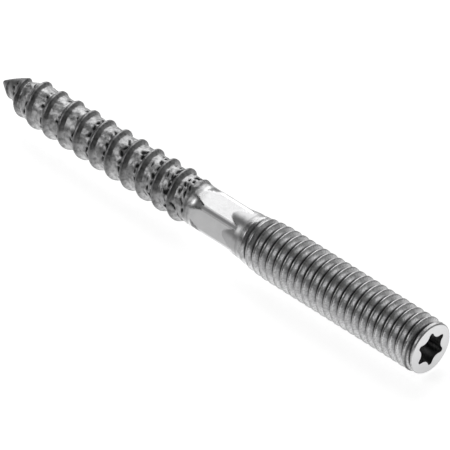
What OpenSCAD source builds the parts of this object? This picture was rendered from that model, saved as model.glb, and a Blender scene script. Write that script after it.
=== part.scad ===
// Hanger bolt: wood thread with a gimlet point, pressed hexagon neck and a metric stud with a
// six-lobe socket in its flat end. One piece of cold-headed and rolled stainless steel, lying
// on its thread crests along X with the point at -X.

/* [Lengths] */
// Length of the wood thread, point included
wood_l = 27.9; // [20:0.1:32]
// Length of the pressed flats, from the bevelled corners to the round neck
hex_l = 6.1; // [5:0.1:7]
// Length of the round neck between the flats and the metric thread
neck_l = 1.2; // [1:0.1:2]
// Length of the metric thread, end rim included
metric_l = 24.2; // [16:0.1:27]

/* [Metric thread] */
// Major diameter of the metric thread
metric_d = 6; // [5.8:0.05:6.4]
// Pitch of the metric thread
metric_pitch = 1; // [0.8:0.05:1.25]
// Depth of the metric thread from crest to root
metric_depth = 0.61; // [0.5:0.01:0.66]
// Length over which the crests rise from the neck to the full diameter
metric_run_in = 4.2; // [2:0.1:6]
// Length of the plain rim that rolling leaves round the drive end
rim_l = 0.9; // [0.6:0.05:1.2]
// How far that rim lies under the crests
rim_drop = 0.14; // [0.08:0.01:0.3]
// Bevel on the edge of the drive end
rim_bevel = 0.12; // [0.05:0.01:0.18]

/* [Wood thread] */
// Diameter over the crests at the neck
wood_d = 5.5; // [5.2:0.02:5.7]
// Diameter over the crests where the point begins
wood_front_d = 4.84; // [4.6:0.02:5.1]
// Core diameter at the neck
wood_core_d = 4.65; // [4.3:0.05:4.8]
// Core diameter where the point begins
wood_front_core_d = 4.25; // [3.8:0.05:4.4]
// Pitch of the wood thread
wood_pitch = 2.24; // [2:0.02:2.6]
// Length of the tapered gimlet point
point_l = 4.9; // [3:0.1:7]
// Length over which the last crest falls to the neck
wood_run_out = 2.2; // [1:0.1:3]
// Diameter of its blunt tip
tip_d = 0.32; // [0.1:0.02:0.6]
// Bluffness of the crests' line on the point, where 1 is a straight cone
point_crest_bluff = 1.55; // [1:0.05:2]
// Bluffness of the core on the point
point_core_bluff = 1.15; // [1:0.05:1.5]
// Width of the crest lands, as a share of the pitch
wood_land = 0.06; // [0.04:0.01:0.12]
// Width of the flanks on the side of the point, as a share of the pitch
wood_front_flank = 0.18; // [0.12:0.01:0.3]
// Width of the flanks on the side of the neck, as a share of the pitch
wood_back_flank = 0.14; // [0.1:0.01:0.25]

/* [Neck] */
// Diameter of the round neck
neck_d = 5.08; // [4.95:0.01:5.2]
// How far the neck flares out where it meets the metric thread
neck_flare = 0.06; // [0.03:0.01:0.1]
// Diameter of the neck where the wood thread runs out
lead_d = 4.7; // [4.5:0.02:4.85]
// Width across the pressed flats
hex_af = 4.6; // [4.4:0.02:4.7]
// Angle of the ramps at both ends of the flats
ramp_angle = 8.5; // [7:0.5:12]
// Turn of the hexagon about the bolt
hex_turn = 12.3; // [0:0.1:60]

/* [Drive socket] */
// Diameter over the tips of the six lobes
socket_tip_d = 3.94; // [3.6:0.02:4.2]
// Diameter across the waists between the lobes
socket_waist_d = 2.85; // [2.6:0.02:3]
// Rounding of the lobe tips
socket_tip_r = 0.305; // [0.25:0.005:0.34]
// Depth of the straight walls
socket_depth = 2.3; // [1.5:0.1:4]
// Diameter of the conical floor
socket_floor_d = 2.6; // [2:0.05:2.8]
// Depth of the conical floor
socket_floor_l = 0.75; // [0.3:0.05:1]
// Turn of the socket about the bolt
socket_turn = 26; // [0:1:60]

/* [Hidden] */
$fn = 96;

// Facets round each thread; a facet faces down, so the bolt lies on flats and not on an edge
sides = 28;
step = 360 / sides;
axis_z = max(metric_d, wood_d) / 2 * cos(step / 2);

// The rolled threads end inside the round parts: this far under their surface, and this deep
seat = 0.012;
bury = 0.05;
// Least distance between rows of section points, where the threads end
row_gap = 0.01;
// How far a cutting body reaches past what it cuts
cut_over = 1;

// Stations along the bolt, measured from the point
lead_l = 0.6;
edge_l = 0.1;
wood_end = wood_l + 0.65 * lead_l;
wood_joint = wood_l + 0.75 * lead_l;
hex_s0 = wood_l + lead_l;
hex_s1 = hex_s0 + hex_l;
metric_joint = hex_s1 + neck_l / 3;
bolt_l = hex_s1 + neck_l + metric_l;
rim_s = bolt_l - rim_l;
rim_joint = bolt_l - rim_bevel - edge_l;

// Radii and slopes of the neck and the rim
neck_r = neck_d / 2;
lead_r = lead_d / 2;
flare_r = neck_r + neck_flare;
rim_r = metric_d / 2 - rim_drop;
bevel_l = (neck_r - lead_r) / tan(ramp_angle);
ramp_l = (neck_r - hex_af / 2) / tan(ramp_angle);

// Value between a and b for a share k of the way
function mix(a, b, k) = a + (b - a) * max(0, min(1, k));

// Share that rises fast and then levels out
function ease(k, power) = 1 - (1 - max(0, min(1, k))) ^ power;

// Radius over the metric crests: up from the neck over the run-in, and down to the rim at the end
function metric_crest_r(s) = min(
    mix(flare_r - 2 * seat, metric_d / 2, ease((s - metric_joint) / metric_run_in, 2)),
    mix(metric_d / 2, rim_r - seat, 1.5 * (s - rim_s) / rim_l + 0.5));
function metric_root_r(s) = min(metric_d / 2 - metric_depth, metric_crest_r(s));

// Radii of the wood thread: a bluff point, a slight taper, and a run-out to the neck
wood_out_r = min(lead_r, hex_af / 2) - seat;
function wood_taper_r(s, front_d, neck_end_d, bluff) = mix(
    tip_d, mix(front_d, neck_end_d, (s - point_l) / (wood_l - point_l)), ease(s / point_l, bluff)) / 2;
function wood_crest_r(s) = min(
    wood_taper_r(s, wood_front_d, wood_d, point_crest_bluff),
    mix(wood_d / 2, wood_out_r, 1 - (wood_end - s) / wood_run_out));
function wood_root_r(s) = min(
    wood_taper_r(s, wood_front_core_d, wood_core_d, point_core_bluff), wood_crest_r(s));

// Thread sections over one pitch as [share of the pitch, share of the groove's depth]. The first two
// points are the crest land.
function metric_section(s) = [[0, 0], [0.125, 0], [0.4375, 1], [0.6875, 1]];
// The wood thread has narrow crests on a wide core, a little steeper towards the neck
function wood_section(s) =
    let (h = wood_land / 2, back = wood_back_flank, front = wood_front_flank)
    [[-h, 0], [h, 0], [h + 0.3 * back, 0.2], [h + 0.63 * back, 0.62], [h + back, 1],
     [1 - h - front, 1], [1 - h - 0.63 * front, 0.62], [1 - h - 0.3 * front, 0.2]];

// Closed solid of a right-hand rolled thread: a turned form with a helical groove that fades in and
// out. Columns of section points follow the helix, and the last point of a column is the first point
// of the column one turn later. Flat rings close both ends.
module rolled_thread(ring_in_s, ring_out_s, s0, s1, pitch, first_step, turns_in, turns_out,
                     section, crest_r, root_r) {
    m = len(section(s0));
    steps = floor((s1 - s0) / pitch * sides);
    last_s = ring_out_s - 2 * bury;
    function angle(i) = (i + first_step + 0.5) * step;
    function depth(i) = sin(90 * max(0, min(1, i / (turns_in * sides), (steps - i) / (turns_out * sides))));
    function at(i, j) =
        j == m ? at(i + sides, 0) : i <= steps ? i * m + j : (steps + 1) * m + (i - steps - 1) * 2 + j;
    function column_point(i, j) =
        let (
            p = section(s0 + i / sides * pitch)[j],
            s = min(s0 + (i / sides + p[0]) * pitch, last_s - row_gap * (i > steps ? 2 - j : m + 2 - j)),
            r = mix(crest_r(s), root_r(s), p[1] * depth(i))
        )
        [r * cos(angle(i)), r * sin(angle(i)), s];
    function ring_point(i, s) = [crest_r(s) * cos(angle(i)), crest_r(s) * sin(angle(i)), s];
    points = [
        for (i = [0:steps + sides], j = [0:(i <= steps ? m - 1 : 1)]) column_point(i, j),
        for (k = [0:sides - 1]) ring_point(k, ring_in_s),
        for (k = [0:sides - 1]) ring_point(steps + k, ring_out_s)
    ];
    in_0 = len(points) - 2 * sides;
    function ring_in(k) = in_0 + k % sides;
    function ring_out(k) = in_0 + sides + k % sides;
    // The last column, up to the ring
    edge = [for (j = [1:m]) at(steps, j), at(steps + sides, 1), ring_out(0)];
    faces = [
        for (i = [0:steps - 1], j = [0:m - 1])
            each [[at(i, j), at(i, j + 1), at(i + 1, j + 1)], [at(i, j), at(i + 1, j + 1), at(i + 1, j)]],
        for (i = [steps:steps + sides - 1])
            each [[at(i, 0), at(i, 1), at(i + 1, 1)], [at(i, 0), at(i + 1, 1), at(i + 1, 0)]],
        for (i = [0:sides - 2])
            each [[at(i, 0), at(i + 1, 0), ring_in(i + 1)], [at(i, 0), ring_in(i + 1), ring_in(i)]],
        for (j = [0:m - 1]) [at(sides - 1, 0), at(0, j + 1), at(0, j)],
        [at(sides - 1, 0), at(0, 0), ring_in(0)],
        [at(sides - 1, 0), ring_in(0), ring_in(sides - 1)],
        for (k = [1:sides - 1])
            each [[at(steps + k + 1, 1), at(steps + k, 1), ring_out(k)],
                  [at(steps + k + 1, 1), ring_out(k), ring_out(k + 1)]],
        for (n = [0:len(edge) - 2]) [at(steps + 1, 1), edge[n], edge[n + 1]],
        [at(steps + 1, 1), ring_out(0), ring_out(1)],
        [for (k = [0:sides - 1]) ring_in(k)],
        [for (k = [0:sides - 1]) ring_out(sides - 1 - k)]
    ];
    polyhedron(points, faces);
}

// Wood thread, whose groove fades out on the side away from its last crest
module wood_thread() {
    rolled_thread(0, wood_joint + bury, 0.27 * wood_pitch, wood_l - 0.45 * wood_pitch, wood_pitch,
        first_step = 7, turns_in = 0.4, turns_out = 0.45,
        section = function(s) wood_section(s),
        crest_r = function(s) wood_crest_r(s),
        root_r = function(s) wood_root_r(s));
}

// Metric thread, from the flare of the neck to the rim
module metric_thread() {
    rolled_thread(metric_joint - bury, rim_joint + bury, metric_joint + 2 * bury, rim_s, metric_pitch,
        first_step = -7, turns_in = 0.3, turns_out = 0.4,
        section = function(s) metric_section(s),
        crest_r = function(s) metric_crest_r(s),
        root_r = function(s) metric_root_r(s));
}

// Round neck between the threads, with a bevel that brings the corners of the hexagon down to the
// wood thread's end
module neck_blank() {
    rotate_extrude()
        polygon([[0, wood_joint], [lead_r, wood_joint], [lead_r, hex_s0], [neck_r, hex_s0 + bevel_l],
                 [neck_r, hex_s1 + neck_l / 8], [flare_r, metric_joint], [0, metric_joint]]);
}

// What the press takes off the neck: all outside the hexagon, up to a ramp that rises to the neck
module hexagon_press() {
    over_l = neck_l / 12;
    cone_l = ramp_l + 2 * over_l;
    difference() {
        translate([0, 0, wood_l]) cylinder(r = neck_d, h = hex_s1 + over_l - wood_l);
        rotate(hex_turn) translate([0, 0, wood_l - cut_over])
            cylinder(d = hex_af / cos(30), h = hex_s1 + 2 * cut_over - wood_l, $fn = 6);
        translate([0, 0, hex_s1 - ramp_l])
            cylinder(r1 = hex_af / 2, r2 = hex_af / 2 + cone_l * tan(ramp_angle), h = cone_l);
    }
}

// Edge of the drive end
module end_rim() {
    rotate_extrude()
        polygon([[0, rim_joint], [rim_r, rim_joint], [rim_r, bolt_l - rim_bevel],
                 [rim_r - rim_bevel, bolt_l], [0, bolt_l]]);
}

// Six-lobe outline: small arcs round the tips, joined by tangent arcs round the waists
module six_lobes() {
    tip_c = socket_tip_d / 2 - socket_tip_r;
    waist = socket_waist_d / 2;
    waist_r = (tip_c ^ 2 + waist ^ 2 - 2 * tip_c * waist * cos(30) - socket_tip_r ^ 2)
        / (2 * (socket_tip_r - waist + tip_c * cos(30)));
    waist_c = waist + waist_r;
    // Direction of the point where the two arcs meet, seen from the tip's centre
    meet = atan2(waist_c * sin(30), waist_c * cos(30) - tip_c);
    arc_steps = 4;
    polygon([
        for (lobe = [0:5])
            each [
                for (k = [-arc_steps:arc_steps])
                    let (a = 60 * lobe + meet * k / arc_steps)
                    [tip_c * cos(60 * lobe) + socket_tip_r * cos(a),
                     tip_c * sin(60 * lobe) + socket_tip_r * sin(a)],
                for (k = [1 - arc_steps:arc_steps - 1])
                    let (
                        toward = 60 * lobe + 30,
                        a = toward + 180 - (meet - 30) * k / arc_steps
                    )
                    [waist_c * cos(toward) + waist_r * cos(a), waist_c * sin(toward) + waist_r * sin(a)]
            ]
    ]);
}

// Punched socket with a conical floor
module drive_socket() {
    translate([0, 0, bolt_l - socket_depth]) {
        rotate(socket_turn) linear_extrude(socket_depth + cut_over) six_lobes();
        translate([0, 0, -socket_floor_l]) cylinder(d1 = 0, d2 = socket_floor_d, h = socket_floor_l + bury);
    }
}

module hanger_bolt() {
    color([0.75, 0.75, 0.76])
        translate([-bolt_l / 2, 0, axis_z]) rotate([90, 0, 90])
            difference() {
                union() {
                    wood_thread();
                    difference() {
                        neck_blank();
                        hexagon_press();
                    }
                    metric_thread();
                    end_rim();
                }
                drive_socket();
            }
}

hanger_bolt();
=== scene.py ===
"""Hanger bolt in rolled stainless steel, lying on a pale floor.

Lengths are written in millimetres, measured along the bolt from its point, and become metres in the
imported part's frame: the point lies at -X, the drive end at +X, and the crests touch the floor.
"""

import bpy
import numpy as np
from mathutils import Matrix, Vector


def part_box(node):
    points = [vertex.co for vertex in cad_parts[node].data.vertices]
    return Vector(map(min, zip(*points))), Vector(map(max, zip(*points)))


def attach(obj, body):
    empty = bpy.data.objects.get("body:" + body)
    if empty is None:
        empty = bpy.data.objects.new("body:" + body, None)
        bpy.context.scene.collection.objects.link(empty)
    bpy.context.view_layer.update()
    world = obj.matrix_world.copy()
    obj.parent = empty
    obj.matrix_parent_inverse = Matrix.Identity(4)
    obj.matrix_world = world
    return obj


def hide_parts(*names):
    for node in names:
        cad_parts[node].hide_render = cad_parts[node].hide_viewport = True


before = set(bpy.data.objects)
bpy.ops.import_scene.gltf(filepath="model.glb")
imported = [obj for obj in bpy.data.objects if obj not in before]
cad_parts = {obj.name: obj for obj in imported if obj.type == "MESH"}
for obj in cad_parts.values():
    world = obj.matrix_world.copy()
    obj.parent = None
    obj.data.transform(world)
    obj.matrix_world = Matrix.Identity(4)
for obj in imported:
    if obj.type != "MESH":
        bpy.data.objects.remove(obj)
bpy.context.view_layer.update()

# Wood thread
# The front half of the bolt, a coarse right-hand thread rolled into the stainless wire up to a gimlet
# point. Narrow crests stand on a wide, uneven core, with a chain of laps at the foot of each crest.

MM = 0.001
low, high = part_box("hanger_bolt")
bolt_length = (high.x - low.x) / MM
axis_height = (low.z + high.z) / 2 / MM
crest_limit = (high.z - low.z) / 2 / MM

wood_length = 27.9
wood_pitch = 2.24
wood_crest = 5.5 / 2
wood_front_crest = 4.84 / 2
wood_core = 4.65 / 2
wood_front_core = 4.25 / 2
point_length = 4.9
tip_radius = 0.16
point_crest_bluff = 1.55
point_core_bluff = 1.15
wood_land = 0.06
wood_front_flank = 0.19
wood_back_flank = 0.19
cad_sides = 28
wood_start = 0.27 * wood_pitch
wood_start_angle = 7.5 * 360 / cad_sides
wood_turns = 328 / cad_sides
wood_fade_in = 0.4
wood_fade_out = 0.45
run_out_length = 1.7
run_out_end = wood_length - 0.15
run_out_radius = 2.345
pits_per_turn = 17
lap_depth = 0.14
# Strength of the painted shade in the laps
lap_shade = 0.95
chain_grows = (4.0, 15.0)
loose_grows = (17.0, 25.0)
torn_grows = (22.0, 26.0)
ragged_cell = 0.27
rolled_cell = 0.62
rolled_depth = 0.11


def mix(a, b, share):
    """Value between a and b, with the share held between 0 and 1."""
    return a + (b - a) * np.clip(share, 0, 1)


def ease(share, power):
    """Share that rises fast and then levels out: one minus the power of what is left."""
    return 1 - (1 - np.clip(share, 0, 1)) ** power


def smooth(share):
    """Share with a level start and a level end, as the cubic 3 k squared minus 2 k cubed."""
    k = np.clip(share, 0, 1)
    return k * k * (3 - 2 * k)


def passed(along, stretch):
    """Share of a stretch of the bolt that a place has passed: under 0 before it, over 1 beyond it."""
    start, end = stretch
    return (along - start) / (end - start)


def helix(angle, along, start, start_angle, pitch):
    """Where points lie on a right-hand helix: the share of the pitch behind the last crest, and the
    turns that the groove has made since its start."""
    part_turn = ((angle - start_angle) / 360) % 1
    turns = (along - start) / pitch - part_turn
    whole = np.floor(turns)
    return turns - whole, np.where(whole < 0, -1.0, whole + part_turn)


def groove_fade(turn, fade_in, last_turn, fade_out):
    """Share of the full groove depth: a quarter sine up over the first part of the helix, and down
    over the last."""
    return np.sin(np.pi / 2 * np.clip(np.minimum(turn / fade_in, (last_turn - turn) / fade_out), 0, 1))


def patches(angle, along, seed, cell, radius):
    """Smooth noise between 0 and 1 on the unrolled shank: random values on a lattice of cells of that
    size, which closes round the bolt, blended with the cubic of smooth()."""
    columns = max(3, round(2 * np.pi * radius / cell))
    rows = int(along.max() / cell) + 3
    lattice = np.random.default_rng(seed).random((columns, rows))
    across = (angle / 360 % 1) * columns
    down = along / cell + 1
    c0 = np.floor(across).astype(int) % columns
    r0 = np.clip(np.floor(down).astype(int), 0, rows - 2)
    c1 = (c0 + 1) % columns
    kc = smooth(across - np.floor(across))
    kr = smooth(down - r0)
    near = lattice[c0, r0] * (1 - kc) + lattice[c1, r0] * kc
    far = lattice[c0, r0 + 1] * (1 - kc) + lattice[c1, r0 + 1] * kc
    return near * (1 - kr) + far * kr


def wood_taper(along, front, neck_end, bluff):
    """Radius of the wood thread's crests or core: eased up over the point, then a straight taper."""
    full = mix(front, neck_end, (along - point_length) / (wood_length - point_length))
    return mix(tip_radius, full, ease(along / point_length, bluff))


def lap_chain(share, turn, seed, low_share, high_share, width, length):
    """Depth share of a chain of laps along the groove. The groove is cut into equal cells, and each cell
    holds one slanted bell-shaped pit of random place, size and depth."""
    cell = np.floor(turn * pits_per_turn)
    picks = np.random.default_rng(seed).random((int(wood_turns * pits_per_turn) + 40, 6))
    pick = picks[np.clip(cell, 0, len(picks) - 1).astype(int)]
    onward = turn * pits_per_turn - cell - mix(0.35, 0.65, pick[..., 0])
    slant = mix(-0.24, 0.16, pick[..., 2])
    sideways = share - mix(low_share, high_share, pick[..., 1]) + slant * onward
    wide = width * mix(0.5, 1.5, pick[..., 3])
    long = length * mix(0.6, 1.5, pick[..., 4])
    depth = smooth((pick[..., 5] - 0.02) / 0.36)
    return depth * np.exp(-((sideways / wide) ** 2) - (onward / long) ** 2)


def wood_form(angle, along):
    """Radius, share of painted shade on crests and flanks, and share of painted shade in the laps of the
    wood thread. The crest line, which falls to the neck at its end, loses a helical groove with rounded
    flanks and a wide floor. Laps and a rolled unevenness go into the floor. Crests and flanks are
    darkened with painted shade, and the laps are painted dark as shade."""
    share, turn = helix(angle, along, wood_start, wood_start_angle, wood_pitch)
    half = wood_land / 2
    groove = smooth((share - half) / wood_back_flank) * smooth((1 - half - share) / wood_front_flank)
    groove = groove * groove_fade(turn, wood_fade_in, wood_turns, wood_fade_out)
    fall = mix(wood_crest, run_out_radius, 1 - (run_out_end - along) / run_out_length)
    crest = np.minimum(wood_taper(along, wood_front_crest, wood_crest, point_crest_bluff), fall)
    core = np.minimum(wood_taper(along, wood_front_core, wood_core, point_core_bluff), crest)
    before_neck = smooth((run_out_end - along) / 0.5)
    growth = mix(0.75, 1.15, passed(along, chain_grows)) * before_neck
    rough_end = smooth(passed(along, loose_grows)) * before_neck
    chain = lap_chain(share, turn, seed=5, low_share=0.68, high_share=0.82, width=0.072, length=0.38)
    loose = lap_chain(share, turn, seed=8, low_share=0.34, high_share=0.86, width=0.055, length=0.36)
    torn = lap_chain(share, turn, seed=9, low_share=0.20, high_share=0.74, width=0.05, length=0.42)
    torn = torn * smooth(passed(along, torn_grows)) * before_neck
    ragged = mix(0.3, 1.5, patches(angle, along, 13, ragged_cell, wood_core))
    lap = np.minimum(np.maximum(chain * growth, np.maximum(loose * rough_end, torn)) * ragged, 1)
    coarse = patches(angle, along, 11, rolled_cell, wood_core)
    fine = patches(angle, along, 12, rolled_cell / 2, wood_core)
    uneven = coarse + 0.5 * fine - 0.75
    rolled = np.maximum(groove, smooth((along - 27) / 0.5)) * mix(0.2, 1.0, along / 5) * before_neck
    radius = mix(crest, core, groove) - lap_depth * lap - rolled * rolled_depth * uneven
    # Painted shade: crests and flanks darker, and the laps painted dark
    return radius, 1 - groove ** 2, lap_shade * smooth((lap - 0.14) / 0.3)


# Neck
# The plain shank between the threads, pressed into a hexagon so that it can be held. Its flats ramp up
# into the round at the stud, and its corners are bevelled at the wood thread.

neck_radius = 5.08 / 2
lead_radius = 4.7 / 2
flat_half = 4.6 / 2
hexagon_angle = 12.3
corner_half = 30 - np.degrees(np.arccos(flat_half / neck_radius))
ramp = np.tan(np.radians(8.5))
# The corner that faces the front softbox, which carries painted shade
shaded_corner_angle = hexagon_angle + 120
flats_start = wood_length + 0.6
flats_end = flats_start + 6.1
flare_start = flats_end + 0.1
flare_end = flats_end + 0.4
flare_radius = neck_radius + 0.004
press_blend = 0.03
# Painted shade: on the bevels, on the unpressed round (which is also rougher) and on one corner
bevel_shade_length = 1.5
round_dull_and_shade = 0.6
corner_shade_strength = 0.77
bevel_shade = 0.74


def neck_form(angle, along):
    """Radius, dull-and-shade share and painted-shade share of the neck: the lesser of the bevelled round
    and the hexagon's flats, where the flats blend into a cone that ramps up to the round. Painted shade
    lies on the corner that faces the front softbox and on the bevels, and the unpressed skin is rougher
    than the flats and painted darker as shade."""
    bevel = lead_radius + (along - flats_start) * ramp
    round_part = np.clip(bevel, lead_radius, neck_radius)
    flare = mix(neck_radius, flare_radius, (along - flare_start) / (flare_end - flare_start))
    round_part = np.where(along > flare_start, flare, round_part)
    from_flat = (angle - hexagon_angle) % 60 - 30
    flat = flat_half / np.cos(np.radians(from_flat))
    cone = neck_radius + (along - flats_end) * ramp
    apart = np.abs(flat - cone)
    pressed = np.maximum(flat, cone) + np.maximum(press_blend - apart, 0) ** 2 / (4 * press_blend)
    between = smooth((along - flats_start - 0.6) / 0.3) * smooth((flats_end + 0.1 - along) / 0.2)
    # Painted shade on the corner that faces the front softbox and on the bevels
    corner_shade = between * np.clip(1.6 - np.abs(angle - shaded_corner_angle) / corner_half, 0, 1)
    bevelled = smooth((pressed - round_part) / 0.02) * smooth((along - flats_start - 0.1) / 0.2)
    bevelled = bevelled * smooth((flats_start + bevel_shade_length - along) / 0.2)
    # The unpressed round: rougher, and painted darker as shade
    unpressed = round_dull_and_shade * smooth((cone - np.minimum(flat, neck_radius)) / 0.04 + 0.7)
    painted_shade = np.maximum(corner_shade_strength * corner_shade, bevel_shade * bevelled)
    return np.minimum(round_part, pressed), unpressed, painted_shade


# Metric stud
# The rear half of the bolt, a sixty-degree machine thread rolled on the same wire. Its crests rise
# out of the flared neck and stop at a plain rim, which the rolls leave round the drive end.

metric_start = flare_end + 0.1
metric_start_angle = -6.5 * 360 / cad_sides
metric_radius = 6.0 / 2
metric_pitch = 1.0
metric_depth = 0.61
metric_crest_middle = 0.0625
metric_crest_half = 0.08
metric_flank = 0.352
metric_run_in = 4.2
metric_turns = 24.0
metric_late = 0.3
metric_fade_in = 0.6
metric_fade_out = 0.4
metric_crest = crest_limit - 0.001
rim_length = 0.9
rim_start = bolt_length - rim_length
rim_radius = metric_radius - 0.14
rim_step = 0.06
ring_depth = 0.05
# Strengths of the painted shade in the rim rings and the roots
ring_shade = 0.8
root_shade = 0.9


def metric_form(angle, along):
    """Radius, crest share of painted shade and root-and-ring share of painted shade of the stud: the
    crest line, eased up from the flare and down to the stepped rim, loses a helical groove with straight
    flanks.
    Its crests are darkened with painted shade, and its roots and the two turned rings at the rim carry
    painted shade."""
    share, turn = helix(angle, along, metric_start, metric_start_angle, metric_pitch)
    behind_crest = (share - metric_crest_middle) % 1
    groove = mix(0, 1, (behind_crest - metric_crest_half) / metric_flank)
    groove = groove * mix(0, 1, (1 - metric_crest_half - behind_crest) / metric_flank)
    late_turn = turn - metric_late
    last_turn = metric_turns - metric_late
    groove = groove * groove_fade(late_turn, metric_fade_in, last_turn, metric_fade_out)
    # Painted shade: crests darker, and a dark line in each root
    dull_and_shade = 1 - smooth(groove / 0.3)
    root = smooth((behind_crest - 0.33) / 0.1) * smooth((0.66 - behind_crest) / 0.1)
    root = root * smooth(groove / 0.5)
    rise = mix(flare_radius, metric_crest, ease((along - flare_end - 0.2) / metric_run_in, 2))
    fall = mix(metric_crest, rim_radius + rim_step, smooth((along - rim_start + 0.12) / 0.2))
    crest = np.minimum(rise, fall - rim_step * smooth((along - rim_start - 0.27) / 0.2))
    core = np.minimum(metric_radius - metric_depth, crest)
    first_ring = np.exp(-((along - rim_start + 0.02) / 0.08) ** 2)
    last_ring = np.exp(-((along - rim_start - 0.37) / 0.06) ** 2)
    ring = np.maximum(first_ring, 0.8 * last_ring)
    # The rings are shallow grooves, painted dark as shade
    painted_shade = np.maximum(root_shade * root, ring_shade * ring)
    return mix(crest, core, groove) - ring_depth * ring, dull_and_shade, painted_shade


# Drive end
# The flat sawn end of the wire, with a bevelled edge and a six-lobe socket punched into it for the
# driver bit. The punch leaves straight walls and a shallow conical floor.

end_bevel = 0.12
lobe_radius = 3.94 / 2
lobe_rounding = 0.305
waist_radius = 2.85 / 2
socket_depth = 2.3
socket_floor = 0.75
socket_angle = 26.0
face_share = np.array([0.0, 0.03, 0.2, 0.4, 0.6, 0.8, 0.97, 1.0])[:, None]


def socket_outline(angle):
    """Radius of the six-lobe socket: in each sixth, the tip's small arc gives way to the waist's larger
    arc, both as a ray from the middle meets them."""
    tip_centre = lobe_radius - lobe_rounding
    c30 = np.cos(np.radians(30))
    waist_rounding = (tip_centre ** 2 + waist_radius ** 2 - 2 * tip_centre * waist_radius * c30
                      - lobe_rounding ** 2) / (2 * (lobe_rounding - waist_radius + tip_centre * c30))
    waist_centre = waist_radius + waist_rounding
    from_tip = np.radians(np.abs((angle - socket_angle + 30) % 60 - 30))
    across = tip_centre * np.sin(from_tip)
    tip_arc = tip_centre * np.cos(from_tip) + np.sqrt(np.maximum(lobe_rounding ** 2 - across ** 2, 0))
    to_waist = np.radians(30) - from_tip
    across = waist_centre * np.sin(to_waist)
    below = np.sqrt(np.maximum(waist_rounding ** 2 - across ** 2, 0))
    waist_arc = waist_centre * np.cos(to_waist) - below
    apart = lobe_rounding + waist_rounding
    meet_x = tip_centre + lobe_rounding * (waist_centre * c30 - tip_centre) / apart
    meet_y = lobe_rounding * waist_centre * 0.5 / apart
    return np.where(from_tip < np.arctan2(meet_y, meet_x), tip_arc, waist_arc)


# Steel body
# The whole bolt is one piece of wire, so its skin is one grid: columns run along the bolt, and rows go
# from the point over both threads, across the end face and down the socket to its floor.

columns_per_flat = 18
across_corner = np.linspace(-corner_half, corner_half, 5)[:-1]
across_flat = np.linspace(corner_half, 60 - corner_half, columns_per_flat - 3)[:-1]
one_sixth = np.concatenate([across_corner, across_flat])
column_angle = (hexagon_angle + one_sixth[None, :] + 60 * np.arange(6)[:, None]).ravel()


def outer_rows():
    """Angle, place along the bolt and radius of the outer skin, with the two shares of painted shade: the
    three forms follow each other at the stations where they meet."""
    wood_rows = np.linspace(0, run_out_end, 405)[1:]
    neck_rows = np.concatenate([
        np.linspace(run_out_end, flats_start + 1.4, 12)[1:],
        np.linspace(flats_start + 1.4, flats_end - 1.8, 8)[1:],
        np.linspace(flats_end - 1.8, flare_end, 32)[1:],
    ])
    metric_rows = np.linspace(flare_end, bolt_length - end_bevel, 435)[1:]
    along = np.concatenate([wood_rows, neck_rows, metric_rows])
    angle, along = np.meshgrid(column_angle, along)
    wood, wood_crest_shade, wood_lap_shade = wood_form(angle, along)
    neck, neck_dull_and_shade, neck_corner_and_bevel_shade = neck_form(angle, along)
    metric, stud_crest_shade, stud_root_and_ring_shade = metric_form(angle, along)
    on_wood = along <= run_out_end
    on_neck = along <= flare_end
    radius = np.where(on_wood, wood, np.where(on_neck, neck, metric))
    dull_and_shade = np.where(on_wood, wood_crest_shade, np.where(on_neck, neck_dull_and_shade, stud_crest_shade))
    painted_shade = np.where(on_wood, wood_lap_shade, np.where(on_neck, neck_corner_and_bevel_shade, stud_root_and_ring_shade))
    return angle, along, radius, dull_and_shade, painted_shade


def end_rows():
    """Angle, place along the bolt and radius of the drive end: the bevel, the flat face shrinking to the
    socket's outline, the straight wall, and the conical floor."""
    outline = socket_outline(column_angle)[None, :]
    ones = np.ones_like(outline)
    face_radius = mix(rim_radius - end_bevel, outline, face_share)
    face_along = bolt_length * np.ones_like(face_radius)
    wall_share = np.array([0.02, 0.15, 0.4, 0.7, 0.97, 1.0])[:, None]
    wall_along = bolt_length - socket_depth * wall_share * ones
    wall_radius = outline * np.ones_like(wall_share)
    floor_share = np.array([0.75, 0.5, 0.25])[:, None]
    floor_radius = outline * floor_share
    floor_along = bolt_length - socket_depth - socket_floor * (1 - floor_radius / lobe_radius)
    radius = np.vstack([face_radius, wall_radius, floor_radius])
    along = np.vstack([face_along, wall_along, floor_along])
    return np.broadcast_to(column_angle, radius.shape), along, radius


def bolt_points(angle, along, radius):
    """Points in the part's frame, in metres: along X, and round the axis from +Y towards +Z."""
    turn = np.radians(angle)
    x = along - bolt_length / 2
    y = radius * np.cos(turn)
    z = axis_height + radius * np.sin(turn)
    return np.stack([x, y, z], axis=-1) * MM


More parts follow.
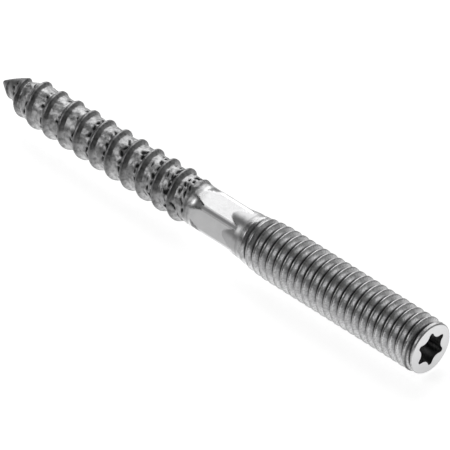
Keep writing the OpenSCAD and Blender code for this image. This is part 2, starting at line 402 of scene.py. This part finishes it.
def steel_mesh():
    """The closed skin: a grid of quads round the bolt, with a fan of triangles at the point and another
    at the middle of the socket's floor. The two painted-shade shares and the socket share are kept for
    the material."""
    outer_angle, outer_along, outer_radius, dull_and_shade, painted_shade = outer_rows()
    end_angle, end_along, end_radius = end_rows()
    rows = np.concatenate([bolt_points(outer_angle, outer_along, outer_radius),
                           bolt_points(end_angle, end_along, end_radius)])
    row_count, column_count = rows.shape[:2]
    grid = np.arange(row_count * column_count).reshape(row_count, column_count)
    after = np.roll(grid, -1, axis=1)
    quads = np.stack([grid[:-1], after[:-1], after[1:], grid[1:]], axis=-1).reshape(-1, 4)
    point = bolt_points(0.0, 0.0, 0.0)
    floor = bolt_points(0.0, bolt_length - socket_depth - socket_floor, 0.0)
    points = np.vstack([rows.reshape(-1, 3), point, floor])
    tip, middle = row_count * column_count, row_count * column_count + 1
    first, last = grid[0], grid[-1]
    tip_fan = np.stack([np.full_like(first, tip), np.roll(first, -1), first], axis=-1)
    floor_fan = np.stack([np.full_like(last, middle), last, np.roll(last, -1)], axis=-1)
    mesh = bpy.data.meshes.new("hanger_bolt_steel")
    mesh.from_pydata(points.tolist(), [], quads.tolist() + tip_fan.tolist() + floor_fan.tolist())
    mesh.polygons.foreach_set("use_smooth", np.ones(len(mesh.polygons), dtype=bool))
    mesh.set_sharp_from_angle(angle=np.radians(20))
    # The rolled threads have no sharp edges
    ends = np.empty(2 * len(mesh.edges), dtype=np.int32)
    mesh.edges.foreach_get("vertices", ends)
    sharp = np.empty(len(mesh.edges), dtype=bool)
    mesh.attributes["sharp_edge"].data.foreach_get("value", sharp)
    along = points[ends.reshape(-1, 2)[:, 0], 0] / MM + bolt_length / 2
    rolled = (along < run_out_end) | ((along > flare_end) & (along < rim_start - 0.3))
    mesh.attributes["sharp_edge"].data.foreach_set("value", sharp & ~rolled)
    padding = np.zeros(len(points) - dull_and_shade.size)
    face_rows = len(face_share)
    socket = np.concatenate([np.zeros_like(end_along[:face_rows]), np.ones_like(end_along[face_rows:])])
    socket = np.concatenate([np.zeros(dull_and_shade.size), socket.ravel(), np.ones(2)])
    socket[tip] = 0
    shares = {"dull_and_shade": np.append(dull_and_shade, padding), "painted_shade": np.append(painted_shade, padding), "socket": socket}
    for name, values in shares.items():
        layer = mesh.attributes.new(name, "FLOAT", "POINT")
        layer.data.foreach_set("value", values.astype(np.float32))
    return mesh


class Socket:
    """One output of a shader node. Sums, differences and products of sockets and numbers add Math
    nodes, and node() adds a node of any other type."""

    def __init__(self, tree, output):
        self.tree = tree
        self.output = output

    def node(self, kind, settings, sockets, result=0):
        """Adds a node, sets its own settings first, and then the values or links of its sockets."""
        made = self.tree.nodes.new(kind)
        for name, value in settings.items():
            setattr(made, name, value)
        for name, value in sockets.items():
            if isinstance(value, Socket):
                self.tree.links.new(value.output, made.inputs[name])
            else:
                made.inputs[name].default_value = value
        return Socket(self.tree, made.outputs[result])

    def math(self, operation, first, second):
        return self.node("ShaderNodeMath", {"operation": operation}, {0: first, 1: second})

    def __add__(self, other):
        return self.math("ADD", self, other)

    def __radd__(self, other):
        return self.math("ADD", other, self)

    def __sub__(self, other):
        return self.math("SUBTRACT", self, other)

    def __rsub__(self, other):
        return self.math("SUBTRACT", other, self)

    def __mul__(self, other):
        return self.math("MULTIPLY", self, other)

    def __rmul__(self, other):
        return self.math("MULTIPLY", other, self)

    def band(self, start, end):
        """Share that goes from 0 to 1 between two values, with soft ends."""
        sockets = {"Value": self, "From Min": start, "From Max": end, "To Min": 0.0, "To Max": 1.0}
        return self.node("ShaderNodeMapRange", {"interpolation_type": "SMOOTHSTEP"}, sockets)

    def noise(self, scale, detail):
        """Soft noise over these coordinates, with that many cells a metre and levels of detail."""
        sockets = {"Vector": self, "Scale": scale, "Detail": detail}
        return self.node("ShaderNodeTexNoise", {}, sockets, "Fac")


def new_material(name):
    """An empty node material, its Principled shader, and a socket to start expressions from."""
    material = bpy.data.materials.new(name)
    material.use_nodes = True
    tree = material.node_tree
    shader = tree.nodes["Principled BSDF"]
    coordinates = tree.nodes.new("ShaderNodeTexCoord")
    return material, shader, Socket(tree, coordinates.outputs["Object"])


def station(along):
    """Place on the part's X axis, in metres, of a length measured from the point."""
    return (along - bolt_length / 2) * MM


blotch_scale = 1100.0
mottle_scale = 2600.0
grain_scale = 5200.0
# The dark end of the colour, where painted shade, stains and specks take the steel
stain_and_shade_black = (0.015, 0.015, 0.016, 1)
steel_white = (0.775, 0.775, 0.78, 1)
bump_height = 0.02 * MM


def stainless_steel():
    """Bare rolled stainless: bright on the pressed flats, duller on the threads, matt on the sawn end.
    Painted shade darkens the laps, crests and flanks of the wood thread, the crests, roots and rim rings
    of the stud, one corner, the bevels and the unpressed round of the neck, and the punched socket. The
    point is darker too."""
    material, shader, place = new_material("stainless_steel")
    tree = material.node_tree
    x = place.node("ShaderNodeSeparateXYZ", {}, {0: place}, "X")
    dull_and_shade = place.node("ShaderNodeAttribute", {"attribute_name": "dull_and_shade"}, {}, "Fac")
    painted_shade = place.node("ShaderNodeAttribute", {"attribute_name": "painted_shade"}, {}, "Fac")
    # Painted shade inside the punched socket
    socket_shade = place.node("ShaderNodeAttribute", {"attribute_name": "socket"}, {}, "Fac")
    on_wood = 1 - x.band(station(wood_length + 0.1), station(wood_length + 0.6))
    on_stud = x.band(station(flare_end), station(flare_end + 0.6))
    on_neck = x.band(station(flats_start + 0.2), station(flats_start + 1)) * (1 - on_stud)
    on_rim = x.band(station(rim_start - 0.1), station(rim_start + 0.1))
    on_end = x.band(station(bolt_length - 0.06), station(bolt_length - 0.01))
    on_point = 1 - x.band(station(0.5), station(5.5))
    on_floor = on_wood * (1 - dull_and_shade)
    blotch = place.noise(blotch_scale, 3.0)
    mottle = place.noise(mottle_scale, 2.0)
    grain = place.noise(grain_scale, 3.0)
    stain = on_floor * blotch.band(0.42, 0.75)
    speck = on_wood * (1 - mottle.band(0.32, 0.6))
    speck = speck + 0.75 * on_stud * (1 - on_end) * (1 - grain.band(0.36, 0.62))
    # Painted shade: the dark and dull shares and the socket darken the colour, and the point is darker;
    # stains, specks and blotches are the steel's own random tone
    shade = (1 - painted_shade) * (1 - dull_and_shade * (0.27 + 0.16 * on_wood)) * (1 - 0.4 * stain) * (1 - 0.42 * speck)
    shade = shade * (1 - 0.1 * on_wood) * (1 - 0.4 * on_point) * (1 - 0.55 * socket_shade)
    shade = shade * (0.81 + 0.12 * blotch + 0.2 * on_stud)
    colour = place.node("ShaderNodeMix", {"data_type": "RGBA"},
                        {"Factor": shade, "A": stain_and_shade_black, "B": steel_white}, 2)
    rough = 0.27 + on_neck * (0.28 * dull_and_shade - 0.06) + 0.03 * on_stud + 0.1 * on_rim
    rough = rough + 0.17 * on_wood + 0.2 * painted_shade + 0.1 * (grain - 0.5)
    tree.links.new(colour.output, shader.inputs["Base Color"])
    tree.links.new(rough.output, shader.inputs["Roughness"])
    shader.inputs["Metallic"].default_value = 1.0
    height = grain * (0.2 + 0.5 * on_floor + 0.9 * on_stud) + blotch * (0.25 + 1.6 * on_floor)
    height = height + 1.2 * mottle * on_floor
    bump = place.node("ShaderNodeBump", {},
                      {"Strength": 0.5, "Distance": bump_height, "Height": height}, "Normal")
    tree.links.new(bump.output, shader.inputs["Normal"])
    return material


steel = bpy.data.objects.new("hanger_bolt_steel", steel_mesh())
bpy.context.scene.collection.objects.link(steel)
steel.data.materials.append(stainless_steel())
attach(steel, "root")
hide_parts("hanger_bolt")

# Floor
# A plain white sweep of painted board that the bolt lies on. The camera sees it evenly white, and it
# keeps the bolt's soft shadow. The steel sees a painted pool of light on it: bright by the bolt,
# dimmer away from it and behind it.

floor_half = 6.0
floor_paint = 0.85
floor_glow = 0.80
# Brightness of the painted pool of light that the steel sees in the floor, by place
mirror_near = 1.05
mirror_near_loss = 0.35
mirror_left = 0.42
mirror_right = 0.50
mirror_end = 0.80
mirror_far = 0.28
mirror_behind = 0.12


def white_floor():
    """Diffuse paint with a glow: even for camera and glass rays, and for mirror rays a painted pool of
    light, bright by the bolt and dimmer away from it."""
    material, shader, place = new_material("white_floor")
    tree = material.node_tree
    shader.inputs["Base Color"].default_value = (floor_paint, floor_paint, floor_paint, 1)
    shader.inputs["Roughness"].default_value = 0.9
    shader.inputs["Specular IOR Level"].default_value = 0.0
    path = tree.nodes.new("ShaderNodeLightPath")
    seen = Socket(tree, path.outputs["Is Camera Ray"]) + Socket(tree, path.outputs["Is Transmission Ray"])
    mirrored = Socket(tree, path.outputs["Is Glossy Ray"])
    x = place.node("ShaderNodeSeparateXYZ", {}, {0: place}, "X")
    y = place.node("ShaderNodeSeparateXYZ", {}, {0: place}, "Y")
    by_stud = x.band(0.006, 0.018)
    past_end = x.band(0.029, 0.034)
    in_front = y.band(-0.05, -0.012)
    behind = y.band(0.006, 0.03)
    side = mirror_left + (mirror_right - mirror_left) * by_stud
    side = side + (mirror_end - mirror_right) * past_end
    side = side * (mirror_far + (1 - mirror_far) * in_front)
    near = mirror_near * (1 - mirror_near_loss * x.band(0.004, 0.012))
    # The painted pool of light: brightest in a strip by the bolt, dimmer behind it
    pool = side + (near - side) * y.band(-0.0045, -0.0025) * (1 - y.band(-0.0005, 0.003))
    pool = pool * (1 - behind) + mirror_behind * behind
    glow = seen * floor_glow + mirrored * pool
    colour = place.node("ShaderNodeCombineColor", {}, {"Red": glow, "Green": glow, "Blue": glow})
    tree.links.new(colour.output, shader.inputs["Emission Color"])
    shader.inputs["Emission Strength"].default_value = 1.0
    return material


floor_corners = [(-floor_half, -floor_half, 0), (floor_half, -floor_half, 0),
                 (floor_half, floor_half, 0), (-floor_half, floor_half, 0)]
floor_mesh = bpy.data.meshes.new("floor")
floor_mesh.from_pydata(floor_corners, [], [(0, 1, 2, 3)])
floor_mesh.materials.append(white_floor())
floor = bpy.data.objects.new("floor", floor_mesh)
bpy.context.scene.collection.objects.link(floor)

# Studio light
# A softbox stands above and behind the bolt, and a smaller one in front to the left. A white backdrop
# closes the room behind, with a weak fill at the back right. The rest is dim, so the round steel shows
# dark bands between them.

room_grey = 0.065
backdrop_white = 0.6
fill_white = 0.24


def softbox(name, way, rise, distance, width, height, radiance):
    """A rectangular lamp in that direction, turned to the bolt with its height along the given rise,
    whose face has the given radiance."""
    data = bpy.data.lights.new(name, "AREA")
    data.shape = "RECTANGLE"
    data.size = width
    data.size_y = height
    data.energy = radiance * np.pi * width * height
    lamp = bpy.data.objects.new(name, data)
    back = Vector(way).normalized()
    side = Vector(rise).cross(back).normalized()
    turn = Matrix((side, back.cross(side), back)).transposed().to_4x4()
    lamp.matrix_world = Matrix.Translation(back * distance) @ turn
    bpy.context.scene.collection.objects.link(lamp)


softbox("key_softbox", way=(-0.525, 0.626, 0.575), rise=(0, 0, 1), distance=1.6,
        width=1.24, height=1.75, radiance=1.56)
softbox("front_softbox", way=(-0.53, -0.595, 0.605), rise=(0, 0, 1), distance=1.6,
        width=0.9, height=0.68, radiance=1.9)

room = bpy.data.worlds.new("room")
room.use_nodes = True
room_tree = room.node_tree
room_place = room_tree.nodes.new("ShaderNodeTexCoord")
way = Socket(room_tree, room_place.outputs["Generated"])
way_y = way.node("ShaderNodeSeparateXYZ", {}, {0: way}, "Y")
way_z = way.node("ShaderNodeSeparateXYZ", {}, {0: way}, "Z")
way_x = way.node("ShaderNodeSeparateXYZ", {}, {0: way}, "X")
behind = (way_y - 0.6 * way_x).band(0.75, 1.1) * (1 - way_z.band(0.2, 0.45))
fill = (0.6 * way_x + 0.64 * way_y + 0.48 * way_z).band(0.8, 0.97)
room_light = room_grey + backdrop_white * behind + fill_white * fill
room_colour = way.node("ShaderNodeCombineColor", {},
                       {"Red": room_light, "Green": room_light, "Blue": room_light})
room_tree.links.new(room_colour.output, room_tree.nodes["Background"].inputs["Color"])
bpy.context.scene.world = room

# Camera
# A long lens from in front of the drive end, looking down along the bolt. Its place and frame follow the
# photograph, so that the two pictures can be laid over each other.

frame_pixels = 450
lens = 1600.0
sensor = 36.0
pixels_per_mm = 9.88
azimuth = np.radians(43.92)
elevation = np.radians(40.63)
shift_right = 9.25
shift_down = 10.6

to_camera = Vector((
    np.sin(azimuth) * np.cos(elevation),
    -np.cos(azimuth) * np.cos(elevation),
    np.sin(elevation),
))
right = Vector((np.cos(azimuth), np.sin(azimuth), 0))
up = to_camera.cross(right)
bolt_middle = Vector((0, 0, axis_height))
target = bolt_middle + right * (shift_right / pixels_per_mm) - up * (shift_down / pixels_per_mm)
distance = lens / sensor * frame_pixels / pixels_per_mm

camera_data = bpy.data.cameras.new("camera")
camera_data.lens = lens
camera_data.sensor_width = sensor
camera_data.clip_end = 100.0
camera = bpy.data.objects.new("camera", camera_data)
turn = Matrix((right, up, to_camera)).transposed().to_4x4()
camera.matrix_world = Matrix.Translation((target + to_camera * distance) * MM) @ turn
bpy.context.scene.collection.objects.link(camera)
bpy.context.scene.camera = camera
bpy.context.scene.view_settings.view_transform = "Standard"
